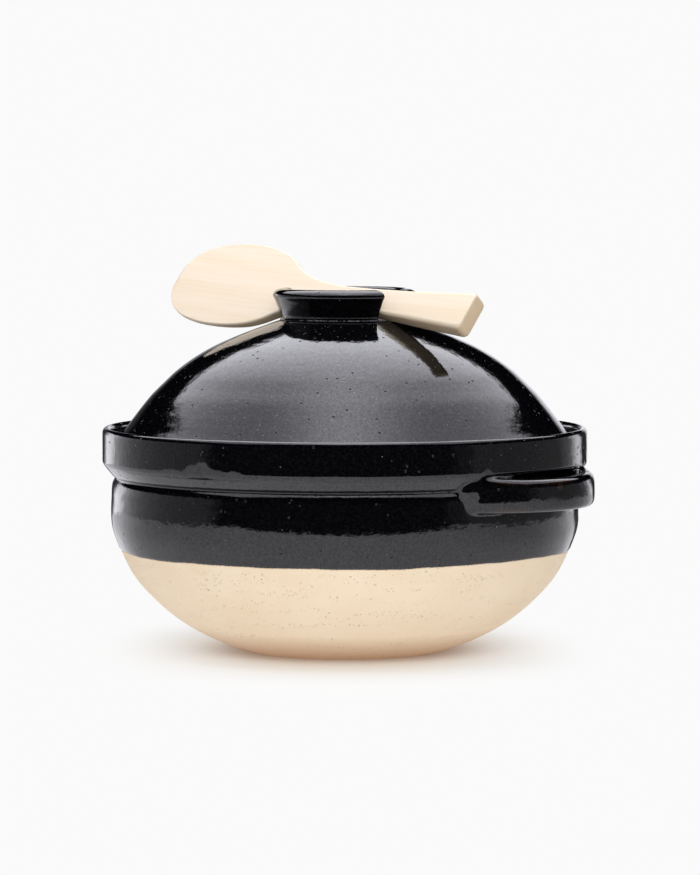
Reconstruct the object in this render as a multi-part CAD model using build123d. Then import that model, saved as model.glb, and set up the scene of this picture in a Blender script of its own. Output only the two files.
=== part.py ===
"""Double-lid clay rice pot with a wooden rice paddle resting in the lid's split knob.

Origin: centre of the pot's flat foot, on the surface it stands on. +Z is up, and the two
handles lie along X. Millimetres throughout.

The pot is thrown stoneware. A tall rim collar stands outside the body, with a seat inside it for
the domed outer lid and, one step lower, a ledge for the flat inner lid. The handles and the knobs
are clay made apart and luted on before firing. The paddle is cut from one piece of wood.
"""

import os
from math import cos, radians, sin, tan

from build123d import *

# Main sizes of the pot, which the others below follow
rim_radius = 120.0
pot_height = 110.5

# Pot body, outside: how far its parts lie inside the rim and below one another
rim_band_depth = 19.5
rim_corner_round = 1.8
lip_thickness = 4.2
crease_depth = 11.4
crease_drop = 7.3
shoulder_inset = 5.1
shoulder_round = 2.4
belly_inset = 4.1
belly_drop = 13.7
foot_radius = 48.8

# Pot body, inside
collar_wall = 6.0
seat_depth = 17.0
ledge_drop = 8.0
ledge_width = 6.5
bowl_wall = 13.9
bowl_widest_drop = 8.0
floor_thickness = 14.0
floor_radius = 34.0

# Clearances between the lids and their seats: at the sides, and below
outer_lid_clearance = 1.6
inner_lid_clearance = 1.5
lift_gap = 0.1

# Outer lid
outer_lid_rise = 53.1
outer_lid_wall = 7.0
outer_lid_foot = 2.6
crown_thickness = 8.0
lid_hole_diameter = 11.0
lid_hole_offset = 66.0

# Knob on the outer lid, a flared ring cut through by a slot
knob_base_radius = 30.6
knob_waist_flare = 2.8
knob_lip_flare = 2.3
knob_height = 15.3
knob_lip_depth = 4.6
knob_wall = 8.0
slot_width = 18.4
slot_angle = -4.5

# Inner lid
inner_lid_edge = 7.0
inner_lid_rise = 8.5
inner_lid_thickness = 7.5
inner_lid_round = 2.0
inner_hole_diameter = 10.0
inner_hole_offset = 46.0
inner_knob_neck_radius = 11.0
inner_knob_flare = 4.5
inner_knob_height = 15.0
inner_knob_cap = 8.0
inner_knob_round = 3.2

# Handles, one on each side, set by the rim and by the shoulder's height
handle_overhang = 14.2
handle_curve_radius = 59.3
handle_end_angle = 60.0
handle_sections_each_side = 4
handle_bar_width = 12.6
handle_bar_height = 15.5
handle_bar_round = 4.6
handle_end_height = 19.5
handle_end_lift = 2.4
handle_drop = 2.1
handle_set_angle = 3.4
handle_web_rise = 1.1
handle_web_drop = 7.1
finger_scoop_rise = 5.5
finger_scoop_width = 80.0

# Rice paddle: how far it reaches either way from the middle of the knob's slot
paddle_blade_reach = 112.2
paddle_grip_reach = 80.8
paddle_flare_clearance = 14.7
paddle_blade_width = 52.4
paddle_neck_width = 14.0
paddle_grip_width = 22.8
paddle_tip_thickness = 2.4
paddle_blade_thickness = 3.4
paddle_neck_thickness = 7.4
paddle_grip_thickness = 8.4
paddle_end_round = 2.6
paddle_roll_angle = 51.0
paddle_pitch_angle = 3.4
paddle_gap = 0.4
paddle_lean = 1.0

# How far cutting tools run past what they cut
overrun = 5.0

# Outlines as shares, each (across, up), of the sizes that they follow
bowl_outside_shares = [
    (0.136, 0.043), (0.312, 0.115), (0.494, 0.216), (0.674, 0.359), (0.833, 0.531), (0.944, 0.745),
]
bowl_inside_shares = [(0.22, 0.035), (0.50, 0.155), (0.74, 0.36), (0.91, 0.64)]
dome_shares = [
    (0.9914, 0.123), (0.9743, 0.168), (0.940, 0.220), (0.793, 0.452), (0.645, 0.626), (0.423, 0.801),
    (0.212, 0.912),
]
# Paddle blade, from its tip to where it starts to narrow: (along, share of the blade's width)
blade_shares = [
    (0.0, 0.16), (0.011, 0.27), (0.044, 0.47), (0.125, 0.72), (0.25, 0.88), (0.422, 0.975), (0.64, 1.0),
    (0.843, 0.96), (1.0, 0.875),
]
# From there to the neck: (distance from the slot's middle as a share of the knob's radius, share of width)
flare_shares = [(1.196, 0.73), (1.062, 0.605), (0.927, 0.495), (0.765, 0.405), (0.549, 0.335)]
# Neck in the slot: (share of the knob's radius on the grip's side, share of the way from neck to grip)
neck_shares = [(-0.224, 0.02), (0.373, 0.02)]
# Grip, from the knob's edge to its end: (along, share of the way from neck to grip)
grip_shares = [(0.0, 0.255), (0.53, 0.64), (1.0, 1.0)]
blade_widest_share = 0.64
neck_starts_share = 0.44
slot_exit_share = 0.30
paddle_round_share = 0.3

# Sizes that follow from those above
rim_band_height = pot_height - rim_band_depth
shoulder_height = rim_band_height - crease_drop
belly_height = shoulder_height - belly_drop
seat_height = pot_height - seat_depth
ledge_height = seat_height - ledge_drop
bowl_widest_height = belly_height - bowl_widest_drop
finger_scoop_height = rim_band_height + finger_scoop_rise
handle_middle_height = shoulder_height - handle_drop
crown_height = pot_height + outer_lid_rise
crease_radius = rim_radius - crease_depth
shoulder_radius = rim_radius - shoulder_inset
belly_radius = rim_radius - belly_inset
bowl_radius = belly_radius - bowl_wall
collar_radius = rim_radius - collar_wall
outer_lid_radius = collar_radius - outer_lid_clearance
inner_seat_radius = collar_radius - 2 * ledge_width
ledge_inner_radius = inner_seat_radius - ledge_width
inner_lid_radius = inner_seat_radius - inner_lid_clearance
knob_waist_radius = knob_base_radius + knob_waist_flare
knob_lip_radius = knob_waist_radius + knob_lip_flare
inner_knob_radius = inner_knob_neck_radius + inner_knob_flare


def between(start, end, share):
    """The value that lies the given share of the way from start to end."""
    return start + (end - start) * share


def full_turn(outline_face):
    """The solid of revolution of a face drawn right of the Z axis in the XZ plane."""
    return revolve(Plane.XZ * outline_face, axis=Axis.Z, revolution_arc=360)


def pot_outside_edges():
    """The outside of the pot from the foot's centre up to the top of the lip."""
    lip_radius = lip_thickness / 2
    bowl_points = [
        (between(foot_radius, belly_radius, across), belly_height * up) for across, up in bowl_outside_shares
    ]
    foot = (foot_radius, 0)
    belly = (belly_radius, belly_height)
    below_shoulder = (shoulder_radius, shoulder_height - shoulder_round)
    on_shoulder = (shoulder_radius - shoulder_round, shoulder_height)
    crease = (crease_radius, shoulder_height)
    under_band = (rim_radius - rim_corner_round, rim_band_height - rim_corner_round / 2)
    on_band = (rim_radius, rim_band_height + rim_corner_round)
    band_top = (rim_radius, pot_height - lip_radius)
    lip_top = (rim_radius - lip_radius, pot_height)
    return [
        Line((0, 0), foot),
        Spline(foot, *bowl_points, belly, tangents=[(1, 0.3), (0, 1)]),
        Spline(belly, below_shoulder, tangents=[(0, 1), (-0.12, 1)]),
        Spline(below_shoulder, on_shoulder, tangents=[(-0.12, 1), (-1, 0)]),
        Line(on_shoulder, crease),
        Line(crease, under_band),
        Spline(under_band, on_band, tangents=[(1, 0.6), (0, 1)]),
        Line(on_band, band_top),
        Spline(band_top, lip_top, tangents=[(0, 1), (-1, 0)]),
    ]


def pot_filled():
    """The pot's outside as a full solid, for trimming what is luted on to it."""
    outside = pot_outside_edges()
    lip_top = (rim_radius - lip_thickness / 2, pot_height)
    closing = [Line(lip_top, (0, pot_height)), Line((0, pot_height), (0, 0))]
    return full_turn(make_face(outside + closing))


def finger_scoop(side):
    """The hollow that cuts back the collar's underside above a handle, between the handle's ends."""
    outer = rim_radius + overrun
    rise = (finger_scoop_height - shoulder_height) / (rim_radius - crease_radius)
    profile = Polyline(
        (crease_radius, shoulder_height),
        (outer, shoulder_height + rise * (outer - crease_radius)),
        (outer, shoulder_height),
        close=True,
    )
    cone = full_turn(make_face(profile))
    between_ends = Box(
        outer, finger_scoop_width, pot_height, align=(Align.MIN, Align.CENTER, Align.MIN)
    )
    return Rot(Z=side) * (cone & between_ends)


def make_pot_body():
    """The thrown body: outside, collar, the two lid seats and the bowl."""
    lip_radius = lip_thickness / 2
    lip_top = (rim_radius - lip_radius, pot_height)
    lip_inside = (rim_radius - lip_thickness, pot_height - lip_radius)
    widest = (bowl_radius, bowl_widest_height)
    bowl_points = [
        (
            between(floor_radius, bowl_radius, across),
            floor_thickness + (bowl_widest_height - floor_thickness) * up,
        )
        for across, up in reversed(bowl_inside_shares)
    ]
    inside = [
        Spline(lip_top, lip_inside, tangents=[(-1, 0), (0, -1)]),
        Line(lip_inside, (collar_radius, seat_height)),
        Line((collar_radius, seat_height), (inner_seat_radius, seat_height)),
        Line((inner_seat_radius, seat_height), (inner_seat_radius, ledge_height)),
        Line((inner_seat_radius, ledge_height), (ledge_inner_radius, ledge_height)),
        Spline((ledge_inner_radius, ledge_height), widest, tangents=[(0.3, -1), (0, -1)]),
        Spline(widest, *bowl_points, (floor_radius, floor_thickness), tangents=[(0, -1), (-1, 0)]),
        Line((floor_radius, floor_thickness), (0, floor_thickness)),
        Line((0, floor_thickness), (0, 0)),
    ]
    body = full_turn(make_face(pot_outside_edges() + inside))
    return body - finger_scoop(handle_set_angle) - finger_scoop(180 - handle_set_angle)


def make_handle(side):
    """A lug handle: a rounded bar bowed out from the body, that rises into the collar at its ends."""
    centre_x = rim_radius + handle_overhang - handle_curve_radius
    path_radius = handle_curve_radius - handle_bar_width / 2
    sections = []
    for step in range(-handle_sections_each_side, handle_sections_each_side + 1):
        share = step / handle_sections_each_side
        turn = handle_end_angle * share
        rise = share ** 4
        height = between(handle_bar_height, handle_end_height, rise)
        plane = Plane(
            origin=Vector(centre_x, 0, handle_middle_height + handle_end_lift * rise)
            + Vector(path_radius, 0, 0).rotate(Axis.Z, turn),
            x_dir=Vector(1, 0, 0).rotate(Axis.Z, turn),
            z_dir=Vector(0, 1, 0).rotate(Axis.Z, turn),
        )
        sections.append((plane * RectangleRounded(handle_bar_width, height, handle_bar_round)).face())
    bar = loft(sections)
    web = Pos(centre_x, 0, shoulder_height - handle_web_drop) * Cylinder(
        path_radius, handle_web_rise + handle_web_drop, align=(Align.CENTER, Align.CENTER, Align.MIN)
    )
    lug = Rot(Z=side) * (bar + web)
    return lug - pot_filled()


def dome_edge(radius, base, top_radius, top):
    """One side of the dome in section, from its foot to the edge of its crown."""
    points = [(between(top_radius, radius, across), between(base, top, up)) for across, up in dome_shares]
    return Spline((radius, base), *points, (top_radius, top))


def make_outer_lid_dome():
    """The domed outer lid, with a flat crown that carries the knob and one steam hole."""
    seat = seat_height + lift_gap
    foot_top = seat + outer_lid_foot
    inner_radius = outer_lid_radius - outer_lid_wall
    crown_inside = crown_height - crown_thickness
    outside = dome_edge(outer_lid_radius, foot_top, knob_base_radius, crown_height)
    inside = dome_edge(inner_radius, foot_top, knob_base_radius, crown_inside)
    outline = [
        Line((inner_radius, seat), (outer_lid_radius, seat)),
        Line((outer_lid_radius, seat), (outer_lid_radius, foot_top)),
        outside,
        Line((knob_base_radius, crown_height), (0, crown_height)),
        Line((0, crown_height), (0, crown_inside)),
        Line((0, crown_inside), (knob_base_radius, crown_inside)),
        inside,
        Line((inner_radius, foot_top), (inner_radius, seat)),
    ]
    lid = full_turn(make_face(outline))
    hole = Pos(0, lid_hole_offset, seat) * Cylinder(
        lid_hole_diameter / 2, crown_height - seat, align=(Align.CENTER, Align.CENTER, Align.MIN)
    )
    return lid - hole


def make_lid_knob(front):
    """One half of the flared ring knob, on the near or the far side of its slot."""
    top = crown_height + knob_height
    lip_low = top - knob_lip_depth
    lip_middle = top - knob_lip_depth / 2
    inner_top = knob_lip_radius - knob_wall
    inner_base = knob_base_radius - knob_wall
    outline = [
        Line((inner_base, crown_height), (knob_base_radius, crown_height)),
        Spline(
            (knob_base_radius, crown_height), (knob_waist_radius, lip_low), tangents=[(0.25, 1), (0.2, 1)]
        ),
        Spline(
            (knob_waist_radius, lip_low),
            (knob_lip_radius, lip_middle),
            (knob_lip_radius - knob_wall / 2, top),
            (inner_top, lip_middle),
            tangents=[(1, 0.3), (-0.1, -1)],
        ),
        Line((inner_top, lip_middle), (inner_base, crown_height)),
    ]
    ring = full_turn(make_face(outline))
    half = Pos(0, slot_width / 2, crown_height - overrun) * Box(
        4 * knob_lip_radius, 2 * knob_lip_radius, knob_height + 2 * overrun,
        align=(Align.CENTER, Align.MIN, Align.MIN),
    )
    turn = slot_angle + (180 if front else 0)
    return ring & (Rot(Z=turn) * half)


def make_inner_lid_plate():
    """The flat inner lid: a shallow dished plate with two steam holes."""
    seat = ledge_height + lift_gap
    edge_top = seat + inner_lid_edge
    hollow_top = seat + inner_lid_rise
    crown = hollow_top + inner_lid_thickness
    outline = [
        Line((ledge_inner_radius - ledge_width, seat), (inner_lid_radius, seat)),
        Line((inner_lid_radius, seat), (inner_lid_radius, edge_top - inner_lid_round)),
        Spline(
            (inner_lid_radius, edge_top - inner_lid_round),
            (inner_lid_radius - inner_lid_round, edge_top),
            tangents=[(0, 1), (-1, 0.1)],
        ),
        Spline(
            (inner_lid_radius - inner_lid_round, edge_top), (0, crown), tangents=[(-1, 0.1), (-1, 0)]
        ),
        Line((0, crown), (0, hollow_top)),
        Spline((0, hollow_top), (ledge_inner_radius - ledge_width, seat), tangents=[(1, 0), (1, -0.35)]),
    ]
    plate = full_turn(make_face(outline))
    for side in (0, 180):
        hole = Pos(inner_hole_offset, 0, seat - overrun) * Cylinder(
            inner_hole_diameter / 2, crown - seat + 2 * overrun, align=(Align.CENTER, Align.CENTER, Align.MIN)
        )
        plate -= Rot(Z=side) * hole
    return plate


def make_inner_lid_knob(plate):
    """The button knob in the middle of the inner lid."""
    crown = ledge_height + lift_gap + inner_lid_rise + inner_lid_thickness
    base = crown - inner_lid_thickness / 2
    top = crown + inner_knob_height
    cap_low = top - inner_knob_cap
    outline = [
        Line((0, base), (inner_knob_neck_radius, base)),
        Line((inner_knob_neck_radius, base), (inner_knob_neck_radius, cap_low)),
        Spline(
            (inner_knob_neck_radius, cap_low),
            (inner_knob_radius, cap_low + inner_knob_round),
            tangents=[(1, 0.2), (0, 1)],
        ),
        Line((inner_knob_radius, cap_low + inner_knob_round), (inner_knob_radius, top - inner_knob_round)),
        Spline(
            (inner_knob_radius, top - inner_knob_round),
            (inner_knob_radius - inner_knob_round, top),
            tangents=[(0, 1), (-1, 0)],
        ),
        Line((inner_knob_radius - inner_knob_round, top), (0, top)),
        Line((0, top), (0, base)),
    ]
    return full_turn(make_face(outline)) - plate


def paddle_section(along, width, thickness):
    """A rounded section across the paddle, hung below its flat upper face."""
    plane = Plane(origin=(along, 0, -thickness / 2), x_dir=(0, 1, 0), z_dir=(1, 0, 0))
    return (plane * RectangleRounded(width, thickness, thickness * paddle_round_share)).face()


def make_rice_paddle():
    """The paddle flat on its own axis, its neck at the origin, its blade towards -X."""
    flare_reach = knob_lip_radius + paddle_flare_clearance
    widest_reach = between(paddle_blade_reach, flare_reach, blade_widest_share)
    neck_reach = knob_lip_radius * neck_starts_share
    blade = [(between(paddle_blade_reach, flare_reach, along), across) for along, across in blade_shares]
    flare = [(knob_lip_radius * along, across) for along, across in flare_shares]
    neck = [(knob_lip_radius * along, across) for along, across in neck_shares]
    grip = [(between(knob_lip_radius, paddle_grip_reach, along), across) for along, across in grip_shares]
    sections = []
    for reach, across in blade + flare:
        thin = min((paddle_blade_reach - reach) / (paddle_blade_reach - widest_reach), 1)
        thick = max(0, (widest_reach - reach) / (widest_reach - neck_reach))
        thickness = between(paddle_tip_thickness, paddle_blade_thickness, thin)
        thickness = between(thickness, paddle_neck_thickness, thick)
        sections.append(paddle_section(-reach, paddle_blade_width * across, thickness))
    for reach, across in neck + grip:
        width = between(paddle_neck_width, paddle_grip_width, across)
        thickness = between(paddle_neck_thickness, paddle_grip_thickness, across)
        sections.append(paddle_section(reach, width, thickness))
    rounded_end = extrude(
        RectangleRounded(2 * paddle_grip_reach, paddle_grip_width, paddle_end_round),
        paddle_grip_thickness + overrun,
        both=True,
    )
    blade_side = Pos(-paddle_blade_reach / 2, 0, 0) * Box(
        paddle_blade_reach, 2 * paddle_blade_width, 4 * paddle_grip_thickness
    )
    return loft(sections) & (rounded_end + blade_side)


def place_paddle(paddle):
    """Lays the paddle in the knob's slot, rolled on to one edge, with its blade end up."""
    roll, pitch = radians(paddle_roll_angle), radians(paddle_pitch_angle)
    exit_width = between(paddle_neck_width, paddle_grip_width, slot_exit_share)
    exit_thickness = between(paddle_neck_thickness, paddle_grip_thickness, slot_exit_share)
    corner_round = exit_thickness * paddle_round_share
    half_depth = (exit_width * sin(roll) + exit_thickness * cos(roll)) / 2
    half_depth -= corner_round * (sin(roll) + cos(roll) - 1)
    middle_height = crown_height + paddle_gap + half_depth + knob_base_radius * tan(pitch)
    to_axis = Pos(0, 0, paddle_neck_thickness / 2)
    laid = Rot(Z=slot_angle) * Rot(Y=paddle_pitch_angle) * Rot(X=paddle_roll_angle)
    lean = Vector(0, paddle_lean, middle_height).rotate(Axis.Z, slot_angle)
    return Pos(lean) * laid * to_axis * paddle


def main():
    os.makedirs("parts", exist_ok=True)
    plate = make_inner_lid_plate()
    nodes = {
        "pot_body": make_pot_body(),
        "handle_right": make_handle(handle_set_angle),
        "handle_left": make_handle(180 - handle_set_angle),
        "outer_lid_dome": make_outer_lid_dome(),
        "lid_knob_front": make_lid_knob(True),
        "lid_knob_back": make_lid_knob(False),
        "inner_lid_plate": plate,
        "inner_lid_knob": make_inner_lid_knob(plate),
        "rice_paddle": place_paddle(make_rice_paddle()),
    }
    for name, shape in nodes.items():
        export_step(shape, f"parts/{name}.step")
        print(name, round(shape.volume / 1000, 1), "cm3", len(shape.solids()), "solid(s)")


main()
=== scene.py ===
import math

import bmesh
import bpy
import numpy as np
from mathutils import Matrix, Vector
from mathutils.bvhtree import BVHTree


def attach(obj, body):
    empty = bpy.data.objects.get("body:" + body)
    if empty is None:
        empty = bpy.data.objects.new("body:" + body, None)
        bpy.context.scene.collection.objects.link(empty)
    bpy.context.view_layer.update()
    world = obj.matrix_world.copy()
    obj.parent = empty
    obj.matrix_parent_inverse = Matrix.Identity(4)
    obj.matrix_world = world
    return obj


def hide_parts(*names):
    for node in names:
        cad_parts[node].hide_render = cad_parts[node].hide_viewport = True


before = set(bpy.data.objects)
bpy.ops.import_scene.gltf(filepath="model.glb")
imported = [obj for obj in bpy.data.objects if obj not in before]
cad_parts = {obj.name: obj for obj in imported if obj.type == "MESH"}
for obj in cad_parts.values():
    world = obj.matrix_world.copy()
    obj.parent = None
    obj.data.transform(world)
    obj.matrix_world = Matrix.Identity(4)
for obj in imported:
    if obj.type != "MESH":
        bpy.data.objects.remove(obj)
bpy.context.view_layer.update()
print("frame loaded,", len(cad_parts), "CAD nodes")

mm = 0.001
tiny = 1e-6


# mesh helpers

def blendTo(low, high, value):  # 0 below low, 1 above high, smooth between
    share = np.clip((value - low) / (high - low), 0, 1)
    return share * share * (3 - 2 * share)


def hill(limits, value):  # rises from 0 to 1 between the first two limits, falls back between the last two
    return blendTo(*limits[:2], value) * (1 - blendTo(*limits[2:], value))


def sumOfWaves(angle, waves):  # waves: (how many in a turn, height, shift)
    return sum(height * np.sin(count * angle + shift) for count, height, shift in waves)


def smoothRun(points, step):  # a smooth line through (radius, height) points, sampled about every step mm
    p = np.array(points, float)
    gap = np.linalg.norm(np.diff(p, axis=0), axis=1)
    slope = np.diff(p, axis=0) / gap[:, None]
    tangent = np.zeros_like(p)
    before, after = gap[:-1, None], gap[1:, None]
    tangent[1:-1] = (slope[:-1] * after + slope[1:] * before) / (before + after)
    tangent[0] = 1.5 * slope[0] - 0.5 * tangent[1] if len(p) > 2 else slope[0]
    tangent[-1] = 1.5 * slope[-1] - 0.5 * tangent[-2] if len(p) > 2 else slope[0]
    line = [p[0]]
    for i, length in enumerate(gap):
        count = max(1, math.ceil(length / step))
        for k in range(1, count + 1):
            t = k / count
            line.append(
                (2 * t**3 - 3 * t**2 + 1) * p[i] + (t**3 - 2 * t**2 + t) * length * tangent[i]
                + (3 * t**2 - 2 * t**3) * p[i + 1] + (t**3 - t**2) * length * tangent[i + 1]
            )
    return np.array(line)


def joinRuns(settings, steps):
    # joins the runs that steps names, each sampled at its own step; gives the line and the zone of each point
    line, zones = [], []
    for zone, step in steps.items():
        run = smoothRun(settings[zone], step)
        if line and np.linalg.norm(run[0] - line[-1]) < tiny:
            run = run[1:]
        line.extend(run)
        zones.extend([zone] * len(run))
    return np.array(line), np.array(zones)


def lathe(name, line, turns, reshape=None, closed=False, start=0.0, sweep=2 * math.pi):
    # revolves a line of (radius, height) in mm; reshape(angle, radius, height) may move its points
    full = sweep > 2 * math.pi - tiny
    angle = start + sweep * np.arange(turns if full else turns + 1) / turns
    radius = np.repeat(line[:, :1], len(angle), 1)
    height = np.repeat(line[:, 1:2], len(angle), 1)
    if reshape:
        radius, height = reshape(np.broadcast_to(angle, radius.shape), radius, height)
    points = np.stack([radius * np.cos(angle), radius * np.sin(angle), height], -1)
    rows, columns = radius.shape
    index = np.arange(rows * columns).reshape(rows, columns)
    rowPairs = [(i, i + 1) for i in range(rows - 1)] + ([(rows - 1, 0)] if closed else [])
    faces = []
    for a, b in rowPairs:
        for j in range(columns if full else columns - 1):
            k = (j + 1) % columns
            if line[a, 0] < tiny:
                face = (index[a, 0], index[b, j], index[b, k])
            elif line[b, 0] < tiny:
                face = (index[a, j], index[b, 0], index[a, k])
            else:
                face = (index[a, j], index[b, j], index[b, k], index[a, k])
            faces.append([int(v) for v in face[::-1]])
    if closed and not full:
        faces += [index[:, 0].tolist(), index[::-1, -1].tolist()]
    mesh = bpy.data.meshes.new(name)
    mesh.from_pydata((points.reshape(-1, 3) * mm).tolist(), [], faces)
    return tidyMesh(mesh)


def tidyMesh(mesh):  # drops unused points, turns all faces outwards and shades them smooth
    bm = bmesh.new()
    bm.from_mesh(mesh)
    bmesh.ops.delete(bm, geom=[v for v in bm.verts if not v.link_faces], context="VERTS")
    bmesh.ops.recalc_face_normals(bm, faces=bm.faces)
    for face in bm.faces:
        face.smooth = True
    bm.to_mesh(mesh)
    bm.free()
    return mesh


def closeTube(bm, rings):  # faces between rings of points, and one over each end
    for a, b in zip(rings, rings[1:]):
        for k in range(len(a)):
            after = (k + 1) % len(a)
            bm.faces.new((a[k], a[after], b[after], b[k]))
    bm.faces.new(rings[0][::-1])
    bm.faces.new(rings[-1])


def toMesh(bm, name):
    mesh = bpy.data.meshes.new(name)
    bm.to_mesh(mesh)
    bm.free()
    return mesh


def addPiece(data):  # an object that takes the name of its mesh, camera or light
    piece = bpy.data.objects.new(data.name, data)
    bpy.context.scene.collection.objects.link(piece)
    return piece


def shadeSmooth(mesh):
    for face in mesh.polygons:
        face.use_smooth = True


def withModifier(piece, kind, **settings):  # applies one modifier to the piece's mesh
    modifier = piece.modifiers.new(kind.lower(), kind)
    for key, value in settings.items():
        setattr(modifier, key, value)
    evaluated = piece.evaluated_get(bpy.context.evaluated_depsgraph_get())
    mesh = bpy.data.meshes.new_from_object(evaluated)
    piece.modifiers.clear()
    piece.data = mesh


def cutAway(piece, cutterMesh):
    cutter = addPiece(cutterMesh)
    withModifier(piece, "BOOLEAN", operation="DIFFERENCE", object=cutter, solver="EXACT")
    bpy.data.objects.remove(cutter)
    shadeSmooth(piece.data)


def soften(piece, voxel, rounds):  # fuses the piece's solids and rounds their edges and joints
    withModifier(piece, "REMESH", mode="VOXEL", voxel_size=voxel * mm, use_smooth_shade=True)
    bm = bmesh.new()
    bm.from_mesh(piece.data)
    for i in range(rounds):
        bmesh.ops.smooth_vert(bm, verts=bm.verts, factor=0.5,
                              use_axis_x=True, use_axis_y=True, use_axis_z=True)
    bm.to_mesh(piece.data)
    bm.free()


def setAttribute(piece, name, values):
    attribute = piece.data.attributes.new(name, "FLOAT", "POINT")
    attribute.data.foreach_set("value", np.asarray(values, np.float32))


def meshPoints(piece):  # the piece's points in mm
    points = np.zeros(len(piece.data.vertices) * 3)
    piece.data.vertices.foreach_get("co", points)
    return points.reshape(-1, 3) / mm


def inRing(points, lowest, highest, inner, outer):
    radius = np.hypot(points[:, 0], points[:, 1])
    return (points[:, 2] > lowest) & (points[:, 2] < highest) & (radius > inner) & (radius < outer)


def markThinGlaze(piece, fullAt):
    # how sharply the surface turns outwards at each point, smoothed: glaze runs thin there
    bm = bmesh.new()
    bm.from_mesh(piece.data)
    bm.normal_update()
    values = np.zeros(len(bm.verts))
    for v in bm.verts:
        near = [e.other_vert(v).co for e in v.link_edges]
        gap = sum((n - v.co).length for n in near) / len(near)
        outwards = (v.co - sum(near, Vector()) / len(near)).dot(v.normal)
        values[v.index] = outwards / max(gap, 1e-9) ** 2 * mm
    ends = np.array([(e.verts[0].index, e.verts[1].index) for e in bm.edges])
    bm.free()
    smoothingRounds = 6
    for i in range(smoothingRounds):
        total, count = values.copy(), np.ones(len(values))
        for here, there in (ends.T, ends.T[::-1]):
            np.add.at(total, here, values[there])
            np.add.at(count, here, 1)
        values = total / count
    setAttribute(piece, "thinness", blendTo(0.25 * fullAt, fullAt, values))


def finishPiece(piece, body, node, material, thinAt=None):
    if thinAt:
        markThinGlaze(piece, thinAt)
    piece.data.materials.clear()
    piece.data.materials.append(material)
    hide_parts(node)
    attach(piece, body)
    print(piece.name, "made,", len(piece.data.polygons), "faces")


# material helpers

def toLinear(hexColour):  # sRGB hex to linear RGBA
    channels = [int(hexColour[i:i + 2], 16) / 255 for i in (1, 3, 5)]
    return tuple(c / 12.92 if c <= 0.04045 else ((c + 0.055) / 1.055) ** 2.4 for c in channels) + (1.0,)


def addNode(tree, kind, inputs=None, **settings):
    # adds a node with its settings and gives its outputs; inputs are links or plain values
    node = tree.nodes.new("ShaderNode" + kind)
    for key, value in settings.items():
        setattr(node, key, value)
    for key, value in (inputs or {}).items():
        if isinstance(value, bpy.types.NodeSocket):
            tree.links.new(value, node.inputs[key])
        else:
            node.inputs[key].default_value = value
    return node.outputs


def newMaterial(name):
    material = bpy.data.materials.new(name)
    material.use_nodes = True
    material.node_tree.nodes.clear()
    return material, material.node_tree


def spots(tree, place, cellSize, radius, keep, softness):
    # round spots scattered at random: 1 at a spot's middle, 0 outside; sizes in mm,
    # keep is the share of cells that hold one, softness the share of the radius that is full
    cells = addNode(tree, "TexVoronoi", {"Vector": place, "Scale": 1000 / cellSize})
    near = addNode(tree, "MapRange", {
        "Value": cells["Distance"], "From Min": radius / cellSize * softness,
        "From Max": radius / cellSize, "To Min": 1.0, "To Max": 0.0,
    }, interpolation_type="SMOOTHSTEP")
    chance = addNode(tree, "SeparateColor", {0: cells["Color"]})
    kept = addNode(tree, "Math", {0: chance[0], 1: keep}, operation="LESS_THAN")
    return addNode(tree, "Math", {0: near[0], 1: kept[0]}, operation="MULTIPLY")[0]


ironGlaze = {
    "colour": "#030304",        # iron black, a little blue where it is thick
    "mottleColour": "#101116",
    "thinColour": "#5a3210",    # breaks to amber brown where it runs thin
    "speckColour": "#8f897d",   # pale grains that show through
    "roughness": 0.06,
    "pitRoughness": 0.7,
    "waveLength": 16,           # mm round the pot, slow waves of the melted surface
    "waveHeight": 4.0,          # mm up the pot
    "waveDepth": 0.045,
    "peelSize": 5.0,
    "peelDepth": 0.09,
    "rippleSize": 1.1,
    "rippleDepth": 0.022,
    "pits": {"cellSize": 4.2, "radius": 0.66, "keep": 0.3, "softness": 0.55},
    "pitDepth": 0.4,
    "specks": {"cellSize": 1.9, "radius": 0.29, "softness": 0.5},
    "brownSize": 24,
    "brownWhereThin": {"From Min": 0.48, "From Max": 0.75, "To Max": 0.6},
    "brownRuns": {"From Min": 0.72, "From Max": 0.8, "To Max": 0.5},
    "mottle": {"From Min": 0.45, "From Max": 0.75},
    "shine": {"From Min": 0.3, "From Max": 0.7, "To Min": 0.4, "To Max": 0.6},
}

buffClay = {
    "colour": "#f9e6cc",
    "warmColour": "#f0d6b2",
    "footColour": "#b98a5c",    # painted contact shade: browner and darker towards the foot, where the pot meets the table
    "darkColour": "#a37a50",    # iron specks, and painted shade in the open pores
    "roughness": 0.9,
    "grainSize": 0.55,
    "grainDepth": 0.07,
    "cloudSize": 26,
    "warmth": {"From Min": 0.38, "From Max": 0.72, "To Max": 0.4},
    "footShadeFade": {"From Min": 0.014, "From Max": 0.0, "To Max": 0.95},  # metres above the table
    "pores": {"cellSize": 1.5, "radius": 0.44, "keep": 0.6, "softness": 0.3},
    "poreStretch": 1.9,         # pores are this much wider than high
    "poreDepth": 0.35,
    "dots": {"cellSize": 1.3, "radius": 0.2, "keep": 0.22, "softness": 0.3},
    "markShare": 0.75,
    "rowLength": 30,
    "rowHeight": 3.2,
    "inRow": {"From Min": 0.5, "From Max": 0.62},
    "edgeSize": 1.1,            # mm, raggedness of the glaze's edge
    "edgeReach": 0.7,
    "edgeLine": {"From Min": 0.2, "From Max": 0.4},
    "stainColour": "#5a3210",   # brown along the glaze's edge
    "edgeStain": {"From Min": -0.25, "From Max": 0.25, "To Max": 0.5},
}


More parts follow.
